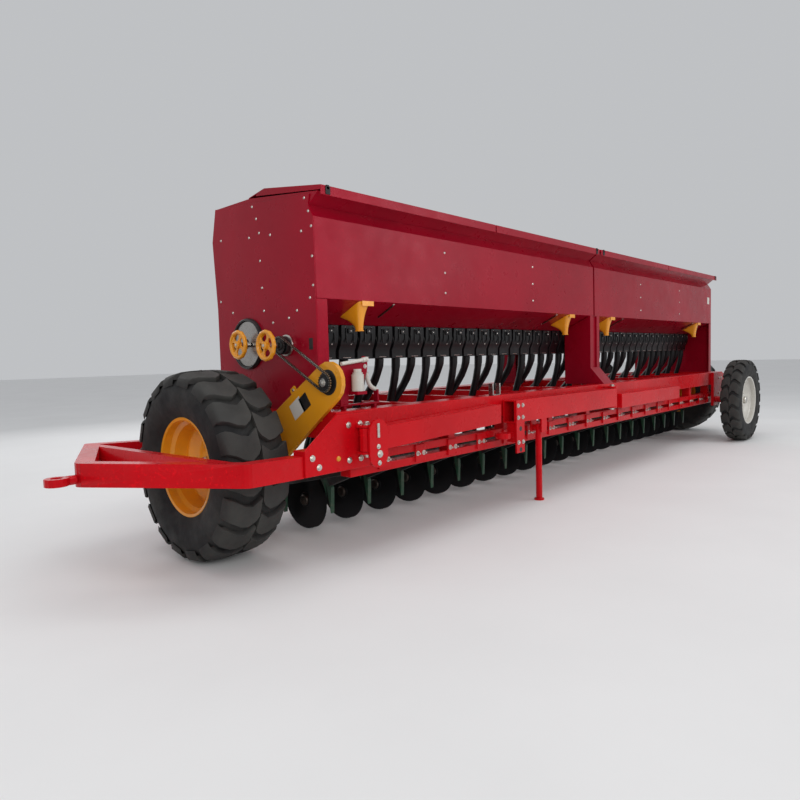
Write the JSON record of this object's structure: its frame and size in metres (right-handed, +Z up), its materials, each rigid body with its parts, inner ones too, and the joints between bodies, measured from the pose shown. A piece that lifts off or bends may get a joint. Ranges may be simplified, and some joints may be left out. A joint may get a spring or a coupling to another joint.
{
  "type": "seed drill",
  "caption": "Wide trailed seed drill with a long split hopper over ranks of disc openers, end wheels, a folded drawbar with a jack, and a side tongue with wheels for lengthwise transport.",
  "frame": {"origin": "on the ground under the middle of the machine's whole outline", "axes": "+X along the hopper away from the drive end, +Z up, -Y the front that the drawbar is on"},
  "size_m": [7.867, 1.907, 1.985],
  "materials": {
    "hopper_paint": "satin",
    "frame_paint": "satin",
    "rim_yellow": "satin",
    "rim_white": "satin",
    "tyre_rubber": "matte",
    "cover_amber": "satin",
    "casting_green": "satin",
    "disc_steel": "satin",
    "black_plastic": "satin",
    "black_paint": "satin",
    "chain_steel": "satin",
    "panel_grey": "satin"
  },
  "bodies": {
    "frame": {"centre_post": "hopper_paint", "chain_cover": "cover_amber", "discs_front": "disc_steel", "discs_rear": "disc_steel", "drain_funnels": "rim_yellow", "drive_chain": "chain_steel", "drive_sprockets": "chain_steel", "end_frame_left": "frame_paint", "end_frame_right": "frame_paint", "end_panel_left": "hopper_paint", "end_panel_right": "hopper_paint", "footboard": "frame_paint", "front_rail": "frame_paint", "gear_cover": "panel_grey", "gusset_left": "frame_paint", "gusset_right": "frame_paint", "hand_wheels": "rim_yellow", "hopper_left": "hopper_paint", "hopper_right": "hopper_paint", "main_bar": "frame_paint", "meters_fertiliser": "black_plastic", "meters_seed": "black_plastic", "opener_arms_front": "black_paint", "opener_arms_rear": "black_paint", "opener_bar": "frame_paint", "opener_boots_front": "casting_green", "opener_boots_rear": "casting_green", "pole_hinge": "frame_paint", "rear_frame": "frame_paint", "seed_tubes_front": "black_plastic", "seed_tubes_rear": "black_plastic", "stay_hinge": "frame_paint", "tongue": "frame_paint", "tongue_eye": "frame_paint", "transport_carriers": "frame_paint"},
    "wheel_left": {"tyre_left": "tyre_rubber", "rim_left": "rim_yellow"},
    "wheel_right": {"tyre_right": "tyre_rubber", "rim_right": "rim_yellow"},
    "transport_front": {"transport_tyre_front": "tyre_rubber", "transport_rim_front": "rim_white"},
    "transport_rear": {"transport_tyre_rear": "tyre_rubber", "transport_rim_rear": "rim_white"},
    "lid_1": {"lid_1": "hopper_paint"},
    "lid_2": {"lid_2": "hopper_paint"},
    "lid_3": {"lid_3": "hopper_paint"},
    "lid_4": {"lid_4": "hopper_paint"},
    "stay": {"drawbar_stay": "frame_paint"},
    "pole": {"drawbar_pole": "frame_paint", "hitch_eye": "frame_paint"},
    "jack": {"jack_leg": "frame_paint"}
  },
  "joints": [
    {"name": "wheel_left_spin", "type": "hinge", "parent": "frame", "child": "wheel_left", "pos_m": [-3.09148, 0.0735, 0.5], "axis": [1, 0, 0], "continuous": true},
    {"name": "wheel_right_spin", "type": "hinge", "parent": "frame", "child": "wheel_right", "pos_m": [3.74852, 0.0735, 0.5], "axis": [1, 0, 0], "continuous": true},
    {"name": "transport_front_spin", "type": "hinge", "parent": "frame", "child": "transport_front", "pos_m": [3.06852, -0.8535, 0.457], "axis": [0, 1, 0], "continuous": true},
    {"name": "transport_rear_spin", "type": "hinge", "parent": "frame", "child": "transport_rear", "pos_m": [3.06852, 0.8535, 0.457], "axis": [0, 1, 0], "continuous": true},
    {"name": "stay_swing", "type": "hinge", "parent": "frame", "child": "stay", "pos_m": [-2.58648, -0.614, 0.621], "axis": [0, 0, 1], "range_deg": [-90, 0]},
    {"name": "pole_swing", "type": "hinge", "parent": "frame", "child": "pole", "pos_m": [0.26852, -0.614, 0.66], "axis": [0, 0, 1], "range_deg": [0, 90]},
    {"name": "jack_fold", "type": "hinge", "parent": "pole", "child": "jack", "pos_m": [-0.91148, -0.614, 0.518], "axis": [0, 1, 0], "range_deg": [-90, 0]},
    {"name": "lid_1_hinge", "type": "hinge", "parent": "frame", "child": "lid_1", "pos_m": [-1.97698, 0.1435, 1.958], "axis": [1, 0, 0], "range_deg": [-110, 0]},
    {"name": "lid_2_hinge", "type": "hinge", "parent": "frame", "child": "lid_2", "pos_m": [-0.44798, 0.1435, 1.958], "axis": [1, 0, 0], "range_deg": [-110, 0]},
    {"name": "lid_3_hinge", "type": "hinge", "parent": "frame", "child": "lid_3", "pos_m": [1.10502, 0.1435, 1.958], "axis": [1, 0, 0], "range_deg": [-110, 0]},
    {"name": "lid_4_hinge", "type": "hinge", "parent": "frame", "child": "lid_4", "pos_m": [2.63402, 0.1435, 1.958], "axis": [1, 0, 0], "range_deg": [-110, 0]}
  ]
}
